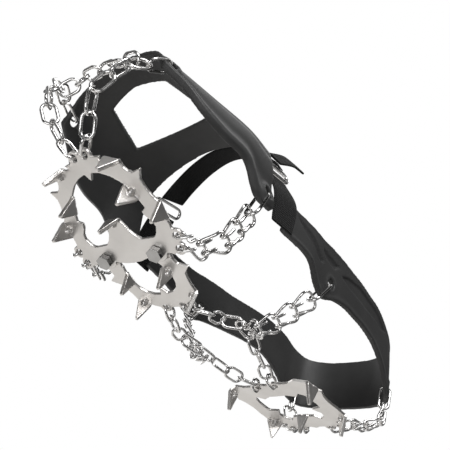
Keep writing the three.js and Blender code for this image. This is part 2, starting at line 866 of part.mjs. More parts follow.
// A ladder of four links and the ring that hangs it in its eyelet. "grip" is what its first
// hooks hold: the axis they turn about, half their spacing and their bend.
function addLadder(name, side, points, eye, grip) {
  const bars = barAxis(points, eye.normal, side, grip.axis);
  for (let i = 0; i < 4; i++) {
    const held = i === 0 ? grip : { axis: bars, half: HOOK, bendR: HOOK_BEND };
    const link = ladderLink(points[i], held.axis, points[i + 1], bars, held.half, held.bendR, -side);
    addPiece(`${name}_link_${i + 1}`, link, nickel);
  }
  const [bar, end] = points.slice(4);
  const along = end.clone().sub(bar).normalize();
  const start = bar.clone().addScaledVector(along, -(RING_R + WIRE_R + GAP));
  const ring = oval(start, end, bars.clone().cross(along), RING_R, grip.ringWidth);
  addPiece(`${name}_ring`, ring, nickel);
}

const sides = [
  { side: 1, tag: "near" },
  { side: -1, tag: "far" },
];

addPiece("front_plate", frontPlate(), steel);
addPiece("mid_plate", midPlate(), steel);
addPiece("heel_plate", heelPlate(), steel);
addPiece("front_harness", frontBand(), rubber);
addPiece("heel_harness", rearBand(), rubber);
addPiece("instep_strap", instepStrap(), woven);
addPiece("strap_tail", strapTail(), woven);

const frontRims = (s) => earRims(frontFrame, FRONT_EARS[1], FRONT_EARS[2], s);
const heelRims = (s) => earRims(heelFrame, HEEL_EARS[1], HEEL_EARS[2], s);
const arches = {
  near: archRuns(ARCH_NEAR, hole(midFrame, MID_EARS[0]), hole(heelFrame, HEEL_EARS[0])),
  far: archRuns(ARCH_FAR, hole(midFrame, MID_EARS[0], -1), hole(heelFrame, HEEL_EARS[0], -1)),
};

function ladderStart(rims) {
  return { near: rims(1).mid, far: rims(-1).mid };
}

function foldGrip(side) {
  const [p, q] = (side > 0 ? arches.near : arches.far).foldLink;
  const axis = q.clone().sub(p).normalize();
  const out = vec(side, 0, 0).addScaledVector(axis, -side * axis.x).normalize();
  const mid = p.clone().add(q).multiplyScalar(0.5);
  return { mid: mid.addScaledVector(out, LINK_W / 2 - WIRE_R), axis };
}

addPiece("toe_cross_chain", crossChain(), nickel);

for (const { side, tag } of sides) {
  const flip = (g) => (side > 0 ? g : mirrored(g));
  addPiece(`hex_bolt_${tag}`, hexBolt(side), zinc);
  addPiece(`lock_nut_${tag}`, lockNut(side), zinc);
  addPiece(`toe_chain_${tag}`, toeChain(toeRuns[tag]), nickel);
  addPiece(`arch_chain_fore_${tag}`, arches[tag].fore, nickel);
  addPiece(`arch_chain_rear_${tag}`, arches[tag].rear, nickel);
  addPiece(`strap_buckle_${tag}`, flip(buckle()), nickel);
  addPiece(`side_webbing_${tag}`, flip(webbing()), woven);

  const front = { ...frontRims(side), bendR: RIM_BEND, ringWidth: SIDE_RING_W };
  const frontPoints = route(FRONT_ROUTE, side, ladderStart(frontRims), FRONT_EYELET.point);
  addLadder(`front_ladder_${tag}`, side, frontPoints, FRONT_EYELET, front);

  const arch = { ...foldGrip(side), half: GRIP, bendR: GRIP_BEND, ringWidth: SIDE_RING_W };
  const archPoints = route(MID_ROUTE, side, ladderStart(foldGrip), REAR_EYELET.point);
  addLadder(`arch_ladder_${tag}`, side, archPoints, REAR_EYELET, arch);

  const heel = { ...heelRims(side), bendR: RIM_BEND, ringWidth: HEEL_RING_W };
  const heelPoints = route(HEEL_ROUTE, side, ladderStart(heelRims), HEEL_EYELET.point);
  addLadder(`heel_ladder_${tag}`, side, heelPoints, HEEL_EYELET, heel);
}

// the origin is under the middle of the whole part, on the ground
const box = new THREE.Box3().setFromObject(model);
const middle = box.getCenter(vec(0, 0, 0));
model.position.set(-middle.x, -middle.y, -box.min.z);

export default model;
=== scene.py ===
import math

import bmesh
import bpy
import numpy as np
from mathutils import Matrix, Quaternion, Vector


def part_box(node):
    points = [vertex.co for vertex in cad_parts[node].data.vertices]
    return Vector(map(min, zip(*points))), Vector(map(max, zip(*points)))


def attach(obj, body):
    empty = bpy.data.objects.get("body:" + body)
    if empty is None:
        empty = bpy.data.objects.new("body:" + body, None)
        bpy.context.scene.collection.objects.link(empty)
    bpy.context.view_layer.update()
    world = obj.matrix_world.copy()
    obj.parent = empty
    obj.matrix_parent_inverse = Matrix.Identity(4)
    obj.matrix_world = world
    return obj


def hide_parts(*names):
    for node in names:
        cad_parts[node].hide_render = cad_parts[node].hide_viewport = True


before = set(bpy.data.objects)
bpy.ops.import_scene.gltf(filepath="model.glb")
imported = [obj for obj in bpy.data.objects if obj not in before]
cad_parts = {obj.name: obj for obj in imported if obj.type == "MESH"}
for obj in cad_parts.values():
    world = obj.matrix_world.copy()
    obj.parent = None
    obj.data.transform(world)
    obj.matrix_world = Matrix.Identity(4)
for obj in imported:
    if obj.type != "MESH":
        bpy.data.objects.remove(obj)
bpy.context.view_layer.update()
scene = bpy.context.scene

# ---- the model's own dimensions, in millimetres, in the frame that the part is drawn in ----
SHEET = 2.0
TOOTH = 12.2
WIRE_R = 0.9
RING_R = 1.0
LINK_W = 9.4
RAIL = 5.9
HOOK = 3.0
HOOK_BEND = 2.2
RIM_BEND = 2.8
GAP = 0.3
STACK_GAP = 0.5
FOLD_GAP = 2.4
BAND = 3.0
EYELET_R = 3.5
WEBBING = 1.6
HEEL_REACH = 183.0  # the harness's rearmost point before the part is centred

heel_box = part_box("heel_harness")
OFFSET = Vector((0, heel_box[1].y * 1000 - HEEL_REACH, 0))


def metres(p):
    return (Vector(p) + OFFSET) / 1000


# ---- camera ----
CAMERA_AT = (0.20919, -0.20390, -0.14045)
CAMERA_RIGHT = (0.7762, 0.5690, 0.2714)
CAMERA_DOWN = (-0.2273, 0.6542, -0.7213)
LENS, SENSOR = 41.6, 36.0

camera_data = bpy.data.cameras.new("camera")
camera_data.lens = LENS
camera_data.sensor_width = SENSOR
camera_data.clip_start = 0.01
camera = bpy.data.objects.new("camera", camera_data)
right = Vector(CAMERA_RIGHT).normalized()
up = (-Vector(CAMERA_DOWN)).normalized()
up = (up - right * up.dot(right)).normalized()
back = right.cross(up)
camera.matrix_world = Matrix.Translation(CAMERA_AT) @ Matrix((right, up, back)).transposed().to_4x4()
scene.collection.objects.link(camera)
scene.camera = camera

# ---- materials ----


def new_material(name, **values):
    mat = bpy.data.materials.new(name)
    mat.use_nodes = True
    shader = mat.node_tree.nodes["Principled BSDF"]
    for key, value in values.items():
        shader.inputs[key.replace("_", " ")].default_value = value
    return mat, mat.node_tree, shader


def node(tree, kind, **values):
    n = tree.nodes.new(kind)
    for key, value in values.items():
        if key in n.inputs:
            n.inputs[key].default_value = value
        else:
            setattr(n, key, value)
    return n


def coords(tree, scale=(1, 1, 1), source="Object"):
    texture = node(tree, "ShaderNodeTexCoord")
    mapping = node(tree, "ShaderNodeMapping")
    mapping.inputs["Scale"].default_value = scale
    tree.links.new(texture.outputs[source], mapping.inputs["Vector"])
    return mapping.outputs["Vector"]


def noise(tree, vector, scale, detail=3, rough=0.55):
    n = node(tree, "ShaderNodeTexNoise", Scale=scale, Detail=detail, Roughness=rough)
    tree.links.new(vector, n.inputs["Vector"])
    return n.outputs["Fac"]


def ramp(tree, value, stops):
    r = node(tree, "ShaderNodeValToRGB")
    r.color_ramp.elements[0].position = stops[0][0]
    r.color_ramp.elements[1].position = stops[-1][0]
    for position, _ in stops[1:-1]:
        r.color_ramp.elements.new(position)
    for element, (_, c) in zip(r.color_ramp.elements, stops):
        element.color = (*c, 1) if len(c) == 3 else c
    tree.links.new(value, r.inputs["Fac"])
    return r.outputs["Color"]


def spread(tree, value, low, high):
    m = node(tree, "ShaderNodeMapRange")
    m.inputs["To Min"].default_value = low
    m.inputs["To Max"].default_value = high
    tree.links.new(value, m.inputs["Value"])
    return m.outputs["Result"]


def bump(tree, shader, heights):
    last = None
    for value, strength, distance in heights:
        b = node(tree, "ShaderNodeBump", Strength=strength, Distance=distance)
        tree.links.new(value, b.inputs["Height"])
        if last:
            tree.links.new(last, b.inputs["Normal"])
        last = b.outputs["Normal"]
    tree.links.new(last, shader.inputs["Normal"])


def grey(v, warm=0.0):
    return (v * (1 + warm), v, v * (1 - warm))


def steel_material():
    mat, tree, shader = new_material("plate_steel", Metallic=1.0)
    at = coords(tree)
    grain = coords(tree, (60, 1, 1))
    cloud = noise(tree, at, 45, 4)
    scratch = noise(tree, grain, 90, 2, 0.7)
    tones = [(0.3, grey(0.70, 0.03)), (0.55, grey(0.77, 0.03)), (0.75, grey(0.82, 0.025))]
    tree.links.new(ramp(tree, cloud, tones), shader.inputs["Base Color"])
    tree.links.new(spread(tree, noise(tree, at, 130, 5), 0.26, 0.42), shader.inputs["Roughness"])
    bump(tree, shader, [(scratch, 0.10, 0.0002), (noise(tree, at, 60, 2), 0.12, 0.0012)])
    return mat


def bright_material(name, level, low, high):
    mat, tree, shader = new_material(name, Metallic=1.0)
    at = coords(tree)
    tones = [(0.3, grey(level * 0.86, 0.015)), (0.7, grey(level, 0.01))]
    tree.links.new(ramp(tree, noise(tree, at, 160, 4), tones), shader.inputs["Base Color"])
    tree.links.new(spread(tree, noise(tree, at, 420, 3), low, high), shader.inputs["Roughness"])
    bump(tree, shader, [(noise(tree, at, 700, 2), 0.12, 0.0002)])
    return mat


def rubber_material():
    mat, tree, shader = new_material("harness_rubber", Specular_IOR_Level=0.42)
    at = coords(tree)
    tree.links.new(ramp(tree, noise(tree, at, 30, 4), [(0.3, grey(0.034)), (0.7, grey(0.046))]),
                   shader.inputs["Base Color"])
    tree.links.new(spread(tree, noise(tree, at, 70, 4), 0.42, 0.60), shader.inputs["Roughness"])
    grain, sway = noise(tree, at, 1800, 2), noise(tree, at, 25, 2)
    bump(tree, shader, [(grain, 0.22, 0.0002), (sway, 0.15, 0.002)])
    return mat


WAVE = math.pi / 10  # a wave texture of scale 1 repeats over this length


def woven_material(name, level, pitch):
    mat, tree, shader = new_material(name, Roughness=0.85, Specular_IOR_Level=0.2, Sheen_Weight=0.08)
    shader.inputs["Sheen Roughness"].default_value = 0.5
    at = coords(tree, (1, 1, 1), "UV")
    across = node(tree, "ShaderNodeTexWave", Scale=WAVE / pitch, Distortion=0.6)
    across.bands_direction = "X"
    along = node(tree, "ShaderNodeTexWave", Scale=WAVE / pitch, Distortion=0.6)
    along.bands_direction = "Y"
    for w in (across, along):
        w.inputs["Detail Scale"].default_value = 2.0
        tree.links.new(at, w.inputs["Vector"])
    weave = node(tree, "ShaderNodeMath", operation="MULTIPLY")
    tree.links.new(across.outputs["Fac"], weave.inputs[0])
    tree.links.new(along.outputs["Fac"], weave.inputs[1])
    fuzz = noise(tree, at, 3.0, 4)
    tree.links.new(ramp(tree, weave.outputs[0], [(0.0, grey(level * 0.45)), (0.8, grey(level))]),
                   shader.inputs["Base Color"])
    bump(tree, shader, [(weave.outputs[0], 0.9, 0.0006), (fuzz, 0.3, 0.0003)])
    return mat


STEEL = steel_material()
NICKEL = bright_material("chain_nickel", 0.84, 0.07, 0.15)
ZINC = bright_material("bolt_zinc", 0.50, 0.14, 0.24)
RUBBER = rubber_material()
WOVEN = woven_material("webbing_black", 0.016, 1.5)
LOOP = woven_material("strap_loop", 0.014, 1.1)

# ---- mesh helpers ----


def add_mesh(name, verts, faces, mat, smooth=True):
    mesh = bpy.data.meshes.new(name)
    mesh.from_pydata([tuple(v) for v in verts], [], [tuple(f) for f in faces])
    mesh.materials.append(mat)
    mesh.polygons.foreach_set("use_smooth", [smooth] * len(mesh.polygons))
    obj = bpy.data.objects.new(name, mesh)
    scene.collection.objects.link(obj)
    return obj


def fix_normals(obj):
    bm = bmesh.new()
    bm.from_mesh(obj.data)
    bmesh.ops.recalc_face_normals(bm, faces=bm.faces)
    bm.to_mesh(obj.data)
    bm.free()


def apply_modifiers(obj):
    depsgraph = bpy.context.evaluated_depsgraph_get()
    mesh = bpy.data.meshes.new_from_object(obj.evaluated_get(depsgraph))
    obj.modifiers.clear()
    old = obj.data
    obj.data = mesh
    bpy.data.meshes.remove(old)
    obj.data.polygons.foreach_set("use_smooth", [True] * len(obj.data.polygons))


def joined(shapes):
    """One list of vertices and faces from several."""
    verts, faces = [], []
    for vs, fs in shapes:
        base = len(verts)
        verts += list(vs)
        faces += [[i + base for i in f] for f in fs]
    return verts, faces


def remeshed(obj, voxel, rounds, factor=0.5):
    """The piece with its parts merged and its edges rounded, as on tumbled metal or moulded rubber."""
    mod = obj.modifiers.new("merge", "REMESH")
    mod.mode = "VOXEL"
    mod.voxel_size = voxel / 1000
    mod.use_smooth_shade = True
    soft = obj.modifiers.new("round", "SMOOTH")
    soft.factor = factor
    soft.iterations = rounds
    apply_modifiers(obj)
    return obj


def subtract(obj, cutter):
    mod = obj.modifiers.new("cut", "BOOLEAN")
    mod.operation = "DIFFERENCE"
    mod.solver = "EXACT"
    mod.object = cutter
    apply_modifiers(obj)
    bpy.data.objects.remove(cutter)


def tube(points, radius, closed=False, sides=12):
    """A round wire along the points, in metres."""
    pts = [Vector(p) for p in points]
    count = len(pts)
    tangents = []
    for i in range(count):
        a = pts[i - 1] if closed or i else pts[0]
        b = pts[(i + 1) % count] if closed or i < count - 1 else pts[-1]
        tangents.append((b - a).normalized())
    normal = tangents[0].orthogonal().normalized()
    normals = [normal]
    for i in range(1, count):
        normal = tangents[i - 1].rotation_difference(tangents[i]) @ normal
        normals.append((normal - tangents[i] * normal.dot(tangents[i])).normalized())
    twist = 0.0
    if closed:
        last = tangents[-1].rotation_difference(tangents[0]) @ normals[-1]
        twist = math.atan2(last.cross(normals[0]).dot(tangents[0]), last.dot(normals[0]))
    verts, faces = [], []
    rings = []

    def ring(centre, n, t, r):
        b = t.cross(n)
        rings.append(len(verts))
        for k in range(sides):
            a = 2 * math.pi * k / sides
            verts.append(centre + (n * math.cos(a) + b * math.sin(a)) * r)

    if not closed:
        for a in (80, 50, 22):
            ring(pts[0] - tangents[0] * radius * math.sin(math.radians(a)), normals[0], tangents[0],
                 radius * math.cos(math.radians(a)))
    for i in range(count):
        n = Quaternion(tangents[i], twist * i / count) @ normals[i] if closed else normals[i]
        ring(pts[i], n, tangents[i], radius)
    if not closed:
        for a in (22, 50, 80):
            ring(pts[-1] + tangents[-1] * radius * math.sin(math.radians(a)), normals[-1], tangents[-1],
                 radius * math.cos(math.radians(a)))
    pairs = list(zip(rings, rings[1:])) + ([(rings[-1], rings[0])] if closed else [])
    for a, b in pairs:
        for k in range(sides):
            j = (k + 1) % sides
            faces.append((a + k, a + j, b + j, b + k))
    if not closed:
        faces.append(tuple(rings[0] + k for k in reversed(range(sides))))
        faces.append(tuple(rings[-1] + k for k in range(sides)))
    return verts, faces


def catmull(points):
    """The smooth curve through the points that the part's own outline uses, as a function of 0..1."""
    pts = [np.array(p, float) for p in points]
    ext = [2 * pts[0] - pts[1], *pts, 2 * pts[-1] - pts[-2]]
    count = len(pts)

    def at(t):
        x = min(max(t, 0.0), 1.0) * (count - 1)
        i = min(int(x), count - 2)
        w = x - i
        p0, p1, p2, p3 = ext[i : i + 4]
        spans = ((p0, p1), (p1, p2), (p2, p3))
        d0, d1, d2 = (max(np.dot(b - a, b - a) ** 0.25, 1e-4) for a, b in spans)
        t1 = ((p1 - p0) / d0 - (p2 - p0) / (d0 + d1) + (p2 - p1) / d1) * d1
        t2 = ((p2 - p1) / d1 - (p3 - p1) / (d1 + d2) + (p3 - p2) / d2) * d1
        square, cube = -3 * p1 + 3 * p2 - 2 * t1 - t2, 2 * p1 - 2 * p2 + t1 + t2
        return p1 + t1 * w + square * w**2 + cube * w**3

    return at


def through(points, per, closed=False):
    """A dense smooth line through a few points."""
    if closed:
        points = [*points[-1:], *points, *points[:2]]
        at = catmull(points)
        n = len(points) - 1
        return [at((1 + k / per) / n) for k in range((n - 2) * per)]
    at = catmull(points)
    n = (len(points) - 1) * per
    return [at(k / n) for k in range(n + 1)]


# ---- frames of the plates: u across, v towards the heel, w up from the lower face ----


def frame_at(x, y, z, yaw, pitch):
    turn = Matrix.Rotation(math.radians(yaw), 4, "Z") @ Matrix.Rotation(math.radians(pitch), 4, "X")
    return Matrix.Translation((x, y, z)) @ turn


HEEL_PITCH = 1.5
HEEL_STAND_V = 6.8  # the heel plate stands on its front teeth, which are this far along it
HEEL_Z = TOOTH * math.cos(math.radians(HEEL_PITCH)) - HEEL_STAND_V * math.sin(math.radians(HEEL_PITCH))
FRONT_FRAME = frame_at(-1, -69, 15.2, 6.9, -16.6)
HEEL_FRAME = frame_at(-1, 71.5, HEEL_Z, -3.5, HEEL_PITCH)
BEND = FRONT_FRAME @ Vector((0, 11.2, SHEET + STACK_GAP))
MID_REACH = 32.0
mid_pitch = math.asin(BEND.z / math.hypot(MID_REACH, TOOTH)) - math.atan2(TOOTH, MID_REACH)
MID_FRAME = frame_at(*BEND, 3.6, -math.degrees(mid_pitch))

# ---- plates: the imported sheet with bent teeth, pressed ribs and rounded edges ----


def ball_shape(radius, basis):
    bm = bmesh.new()
    bmesh.ops.create_icosphere(bm, subdivisions=3, radius=radius)
    verts = [basis @ v.co for v in bm.verts]
    faces = [[v.index for v in f.verts] for f in bm.faces]
    bm.free()
    return verts, faces


BEND_R = 2.3  # outer radius of a tooth's bend
CUT_REACH, CUT_SIDE = 1.5, 0.6  # how far its cutter passes the metal, outwards and at each side


def bend_cutter(width, basis, radius=BEND_R):
    """The corner that a tooth's outer bend takes away. x along the root, y up, z out."""
    out, top = SHEET, SHEET
    arc = [(out - radius + radius * math.cos(a), top - radius + radius * math.sin(a))
           for a in (math.pi / 2 * k / 7 for k in range(8))]
    far_out, far_up = out + CUT_REACH, top + CUT_REACH
    profile = [(far_out, top - radius), *arc, (out - radius, far_up), (far_out, far_up)]
    n = len(profile)
    verts = [basis @ Vector((x, u, o)) for x in (-CUT_SIDE, width + CUT_SIDE) for o, u in profile]
    faces = [tuple(range(n)), tuple(reversed(range(n, 2 * n)))]
    faces += [(i, i + n, (i + 1) % n + n, (i + 1) % n) for i in range(n)]
    return verts, faces


FRONT_TEETH = [
    ((14.5, -51.5), (23, -47.5)),
    ((34.2, -23.6), (34.2, -13.4)),
    ((23.2, -26.8), (19, -36.5)),
]
FRONT_CENTRE = ((-4.5, -17.6), (4.5, -17.6))
MID_TEETH = [((22, 26.8), (15.6, 32.1)), ((15.2, 12.8), (14.2, 4.8))]
HEEL_TEETH = [((32.2, 2.6), (33.8, 12.4)), ((33, 49), (24.5, 57))]
HEEL_CENTRE = ((-4.2, 48), (4.2, 48))


def both_roots(pairs, centre=()):
    flipped = [((-b[0], b[1]), (-a[0], a[1])) for a, b in pairs]
    return [*pairs, *flipped, *centre]


RIB_R, DENT_R = 1.75, 1.9  # the rib pressed into each tooth's bend, inside and outside


def plate(name, place, roots):
    obj = bpy.data.objects.new("visual_" + name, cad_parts[name].data.copy())
    scene.collection.objects.link(obj)
    ribs, cutters = [], []
    for a, b in roots:
        width = math.dist(a, b)
        across = Vector(((b[0] - a[0]) / width, (b[1] - a[1]) / width, 0))
        out = Vector((across.y, -across.x, 0))
        basis = Matrix((across, Vector((0, 0, 1)), out)).transposed().to_4x4()
        basis.translation = (a[0], a[1], 0)
        whole = place @ basis
        rib_at = Matrix.Translation((width / 2, -0.55, -0.75))
        dent_at = Matrix.Translation((width / 2, SHEET + 0.7, SHEET + 0.5))
        ribs.append(ball_shape(RIB_R, whole @ rib_at @ Matrix.Diagonal((1.0, 1.35, 1.25, 1))))
        cutters.append(bend_cutter(width, whole))
        cutters.append(ball_shape(DENT_R, whole @ dent_at @ Matrix.Diagonal((0.8, 1.25, 1.25, 1))))
    for shape_list, role in ((cutters, "cut"), (ribs, "rib")):
        verts, faces = joined(shape_list)
        part = add_mesh(role, [metres(v) for v in verts], faces, STEEL)
        fix_normals(part)
        if role == "cut":
            mod = obj.modifiers.new("cut", "BOOLEAN")
            mod.operation, mod.solver, mod.object = "DIFFERENCE", "EXACT", part
            mod.use_self = True
            apply_modifiers(obj)
            bpy.data.objects.remove(part)
        else:
            bm = bmesh.new()
            bm.from_mesh(obj.data)
            bm.from_mesh(part.data)
            bm.to_mesh(obj.data)
            bm.free()
            bpy.data.objects.remove(part)
    remeshed(obj, 0.32, 4)
    obj.data.materials.clear()
    obj.data.materials.append(STEEL)
    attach(obj, "heel_half" if name == "heel_plate" else "forefoot")
    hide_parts(name)


plate("front_plate", FRONT_FRAME, both_roots(FRONT_TEETH, [FRONT_CENTRE]))
plate("mid_plate", MID_FRAME, both_roots(MID_TEETH))
plate("heel_plate", HEEL_FRAME, both_roots(HEEL_TEETH, [HEEL_CENTRE]))

for tag in ("near", "far"):
    for kind in ("hex_bolt", "lock_nut"):
        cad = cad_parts[f"{kind}_{tag}"]
        piece = bpy.data.objects.new(f"visual_{kind}_{tag}", cad.data.copy())
        scene.collection.objects.link(piece)
        remeshed(piece, 0.16, 3)
        piece.data.materials.clear()
        piece.data.materials.append(ZINC)
        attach(piece, "forefoot")
        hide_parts(cad.name)

# ---- harness surfaces, as the part draws them ----


def half_turn(points):
    return [*points, *[(-x, y, z) for x, y, z in reversed(points[:-1])]]


front_lower = catmull([(45, -127, 83), (51.5, -114, 78), (57, -99, 70), (60, -84, 67), (62, -66, 67),
                       (60.4, -48, 56.5), (58, -31.5, 61)])
front_shoulder = catmull([(35, -131, 99), (47, -95, 97), (53, -64, 100), (53, -44, 102)])
front_top = catmull([(0, -135, 105), (0, -98, 112), (0, -70, 118), (0, -50, 123)])
rear_lower = catmull(half_turn([(57.6, -18, 58.5), (60, 11, 59), (57, 27, 51.5), (55.5, 38, 50.5), (57, 48, 55.5),
                                (57, 63, 60.5), (55, 80, 64.5), (52.5, 100, 68.5), (50, 122, 69), (48, 142, 62),
                                (45.5, 157, 51), (40, 169, 48.5), (25, 179, 50), (0, 183, 51)]))
rear_upper = catmull(half_turn([(57, -16, 81.5), (58.5, 8, 84.5), (58.5, 23, 86), (58, 37, 89), (57, 53, 92),
                                (56, 68, 94), (54.5, 84, 97), (52, 103, 100), (50, 122, 102), (47.5, 140, 100),
                                (45, 155, 95), (39, 168, 92), (24, 178, 92), (0, 182, 93)]))
FLIP = np.array([-1, 1, 1])


def front_surface(t, s):
    low, side, top = front_lower(t), front_shoulder(t), front_top(t)
    return catmull([low, side, top, side * FLIP, low * FLIP])(s)


def rear_surface(t, s):
    return rear_lower(t) * (1 - s) + rear_upper(t) * s


def on_sheet(surface, t, s, thickness):
    step = 1e-3
    du = surface(t + step, s) - surface(t - step, s)
    dv = surface(t, s + step) - surface(t, s - step)
    normal = np.cross(du, dv)
    normal /= np.linalg.norm(normal)
    return Vector(surface(t, s) - normal * thickness / 2), Vector(normal)


TOE_EYELET = on_sheet(front_surface, 0.07, 0.12, BAND)
FRONT_EYELET = on_sheet(front_surface, 0.93, 0.045, BAND)
REAR_EYELET = on_sheet(rear_surface, 0.127, 0.3, BAND)
HEEL_EYELET = on_sheet(rear_surface, 0.408, 0.2, BAND)


def mirror(v):
    return Vector((-v[0], v[1], v[2]))


def hill(x, centre, width):
    return math.exp(-(((x - centre) / width) ** 2))


def step(x, low, high):
    k = min(max((x - low) / (high - low), 0), 1)
    return k * k * (3 - 2 * k)


RIM_SEARCH = 14.0  # an eyelet's raised rim is looked for within this distance of it


def band(name, surface, nt, ns, thickness, relief, eyelets):
    """A closed moulded sheet: relief(t, s) is how far its outer face stands proud, in millimetres."""
    grid = np.array([[surface(i / nt, j / ns) for j in range(ns + 1)] for i in range(nt + 1)])
    du = np.gradient(grid, axis=0)
    dv = np.gradient(grid, axis=1)
    normal = np.cross(du, dv)
    normal /= np.linalg.norm(normal, axis=2, keepdims=True)
    lift = np.array([[relief(i / nt, j / ns) for j in range(ns + 1)] for i in range(nt + 1)])
    rims = [e for p, n in eyelets for e in ((p, n), (mirror(p), mirror(n)))]
    for p, n in rims:
        away = grid - np.array(p)
        along = away @ np.array(n)
        radial = np.linalg.norm(away - along[..., None] * np.array(n), axis=2)
        near_it = np.linalg.norm(away, axis=2) < RIM_SEARCH
        lift += np.where(near_it, np.exp(-(((radial - EYELET_R - 1.4) / 1.5) ** 2)), 0)
    outer = grid + normal * lift[..., None]
    inner = grid - normal * thickness
    verts = [*outer.reshape(-1, 3), *inner.reshape(-1, 3)]
    base = (nt + 1) * (ns + 1)

    def at(i, j, layer):
        return layer * base + i * (ns + 1) + j

    faces = []
    for i in range(nt):
        for j in range(ns):
            faces.append((at(i, j, 0), at(i + 1, j, 0), at(i + 1, j + 1, 0), at(i, j + 1, 0)))
            faces.append((at(i, j, 1), at(i, j + 1, 1), at(i + 1, j + 1, 1), at(i + 1, j, 1)))
    for i in range(nt):
        faces.append((at(i, 0, 0), at(i, 0, 1), at(i + 1, 0, 1), at(i + 1, 0, 0)))
        faces.append((at(i, ns, 0), at(i + 1, ns, 0), at(i + 1, ns, 1), at(i, ns, 1)))
    for j in range(ns):
        faces.append((at(0, j, 0), at(0, j + 1, 0), at(0, j + 1, 1), at(0, j, 1)))
        faces.append((at(nt, j, 0), at(nt, j, 1), at(nt, j + 1, 1), at(nt, j + 1, 0)))
    obj = add_mesh("visual_" + name, [metres(v) for v in verts], faces, RUBBER)
    fix_normals(obj)
    cutters = []
    for p, n in rims:
        turn = Vector((0, 0, 1)).rotation_difference(n).to_matrix().to_4x4()
        angles = np.linspace(0, 2 * math.pi, 33)[:-1]
        round_hole = [(EYELET_R * math.cos(a), EYELET_R * math.sin(a)) for a in angles]
        cutters.append(prism(round_hole, -8, 8, Matrix.Translation(p) @ turn))
    return obj, cutters


def prism(outline, low, high, basis):
    n = len(outline)
    verts = [basis @ Vector((x, y, z)) for z in (low, high) for x, y in outline]
    faces = [tuple(reversed(range(n))), tuple(range(n, 2 * n))]
    faces += [(i, (i + 1) % n, (i + 1) % n + n, i + n) for i in range(n)]
    return verts, faces


def cut_all(obj, shapes):
    verts, faces = joined(shapes)
    cutter = add_mesh("cut", [metres(v) for v in verts], faces, RUBBER)
    fix_normals(cutter)
    subtract(obj, cutter)


def front_relief(t, s):
    s = min(s, 1 - s)
    ridge = 1.7 * hill(s, 0.022, 0.028) - 0.5 * hill(s, 0.085, 0.02)
    seam = -0.6 * hill(s, 0.2, 0.012)
    return ridge + seam


front_eyes = [TOE_EYELET, FRONT_EYELET]
front_band, front_cuts = band("front_harness", front_surface, 110, 200, BAND, front_relief, front_eyes)


def quad_curve(a, c, b, n=14):
    return [tuple(np.array(a) * (1 - k) ** 2 + 2 * np.array(c) * k * (1 - k) + np.array(b) * k * k)
            for k in np.linspace(0, 1, n)]


half_window = [
    *quad_curve((0, -117), (14, -115.5), (24, -112)),
    *quad_curve((34, -80), (16, -75), (0, -75)),
]
window = [*half_window, *[(-x, y) for x, y in half_window[-2:0:-1]]]
cut_all(front_band, [*front_cuts, prism(window, 90, 150, Matrix.Identity(4))])
remeshed(front_band, 0.75, 5)
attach(front_band, "forefoot")
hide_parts("front_harness")


# the tapered recesses of the heel band's side, as (along, up) shares of the band, and their depth
RECESSES = [
    [(0.012, 0.84), (0.024, 0.78), (0.051, 0.69), (0.089, 0.57), (0.081, 0.51), (0.06, 0.45), (0.028, 0.52)],
    [(0.075, 0.83), (0.145, 0.76), (0.13, 0.63), (0.09, 0.70)],
    [(0.154, 0.60), (0.181, 0.73), (0.23, 0.84), (0.30, 0.86), (0.35, 0.84), (0.325, 0.60),
     (0.262, 0.50), (0.194, 0.50)],
]
RECESS_DEPTH, BAND_LENGTH, BAND_HEIGHT = 1.5, 477.0, 32.0


def inside(polygon, t, s):
    """How far a point lies inside a polygon on the band, in millimetres; negative outside."""
    x, y = t * BAND_LENGTH, s * BAND_HEIGHT
    nearest, within = 1e9, False
    for (at, as_), (bt, bs) in zip(polygon, polygon[1:] + polygon[:1]):
        ax, ay, bx, by = at * BAND_LENGTH, as_ * BAND_HEIGHT, bt * BAND_LENGTH, bs * BAND_HEIGHT
        if (ay > y) != (by > y) and x < (bx - ax) * (y - ay) / (by - ay) + ax:
            within = not within
        square = (bx - ax) ** 2 + (by - ay) ** 2
        k = min(max(((x - ax) * (bx - ax) + (y - ay) * (by - ay)) / square, 0), 1)
        nearest = min(nearest, math.hypot(x - ax - k * (bx - ax), y - ay - k * (by - ay)))
    return nearest if within else -nearest


RECESS_END = 0.37  # no recess lies past this share of the band


def rear_relief(t, s):
    t = min(t, 1 - t)
    rim = 0.8 * hill(s, 0.03, 0.07) + 0.3 * hill(s, 0.97, 0.05)
    crown = 0.5 * math.sin(math.pi * min(max(s, 0), 1))
    depth = max(step(inside(r, t, s), -0.3, 0.9) for r in RECESSES) if t < RECESS_END else 0
    return rim + crown - RECESS_DEPTH * depth


rear_eyes = [REAR_EYELET, HEEL_EYELET]
rear_band, rear_cuts = band("heel_harness", rear_surface, 420, 40, BAND, rear_relief, rear_eyes)
cut_all(rear_band, rear_cuts)
remeshed(rear_band, 0.6, 4)
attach(rear_band, "heel_half")
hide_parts("heel_harness")

# ---- strap, tail, buckles and side webbing ----
BUCKLE = Vector((48.1, -28.6, 102.7))
BUCKLE_ALONG = Vector((0, 0.95, 0.31))
BUCKLE_DOWN = Vector((0.3, 0.1, -0.95))
BUCKLE_W, BUCKLE_R, STRAP_W, TAIL_W = 10.0, 1.2, 22.0, 17.0
TAB = BUCKLE_W / 2 + 1.3  # from a buckle's middle to the end of a strap
BUCKLE_SPARE = 2.0  # how far a buckle reaches past each edge of the strap
strap_end = BUCKLE - BUCKLE_DOWN * TAB
strap_line = catmull([(-strap_end.x, strap_end.y, strap_end.z), (-37, -30.5, 121.5), (-20, -34, 130),
                      (0, -36, 133.5), (20, -34, 130), (37, -30.5, 121.5), tuple(strap_end)])
STRAP_ACROSS = np.array(Vector((0, 0.88, 0.47)).normalized())
tail_line = catmull([(46.3, -31, 114.4), (47, -18.5, 124.8), (45, -5, 133)])
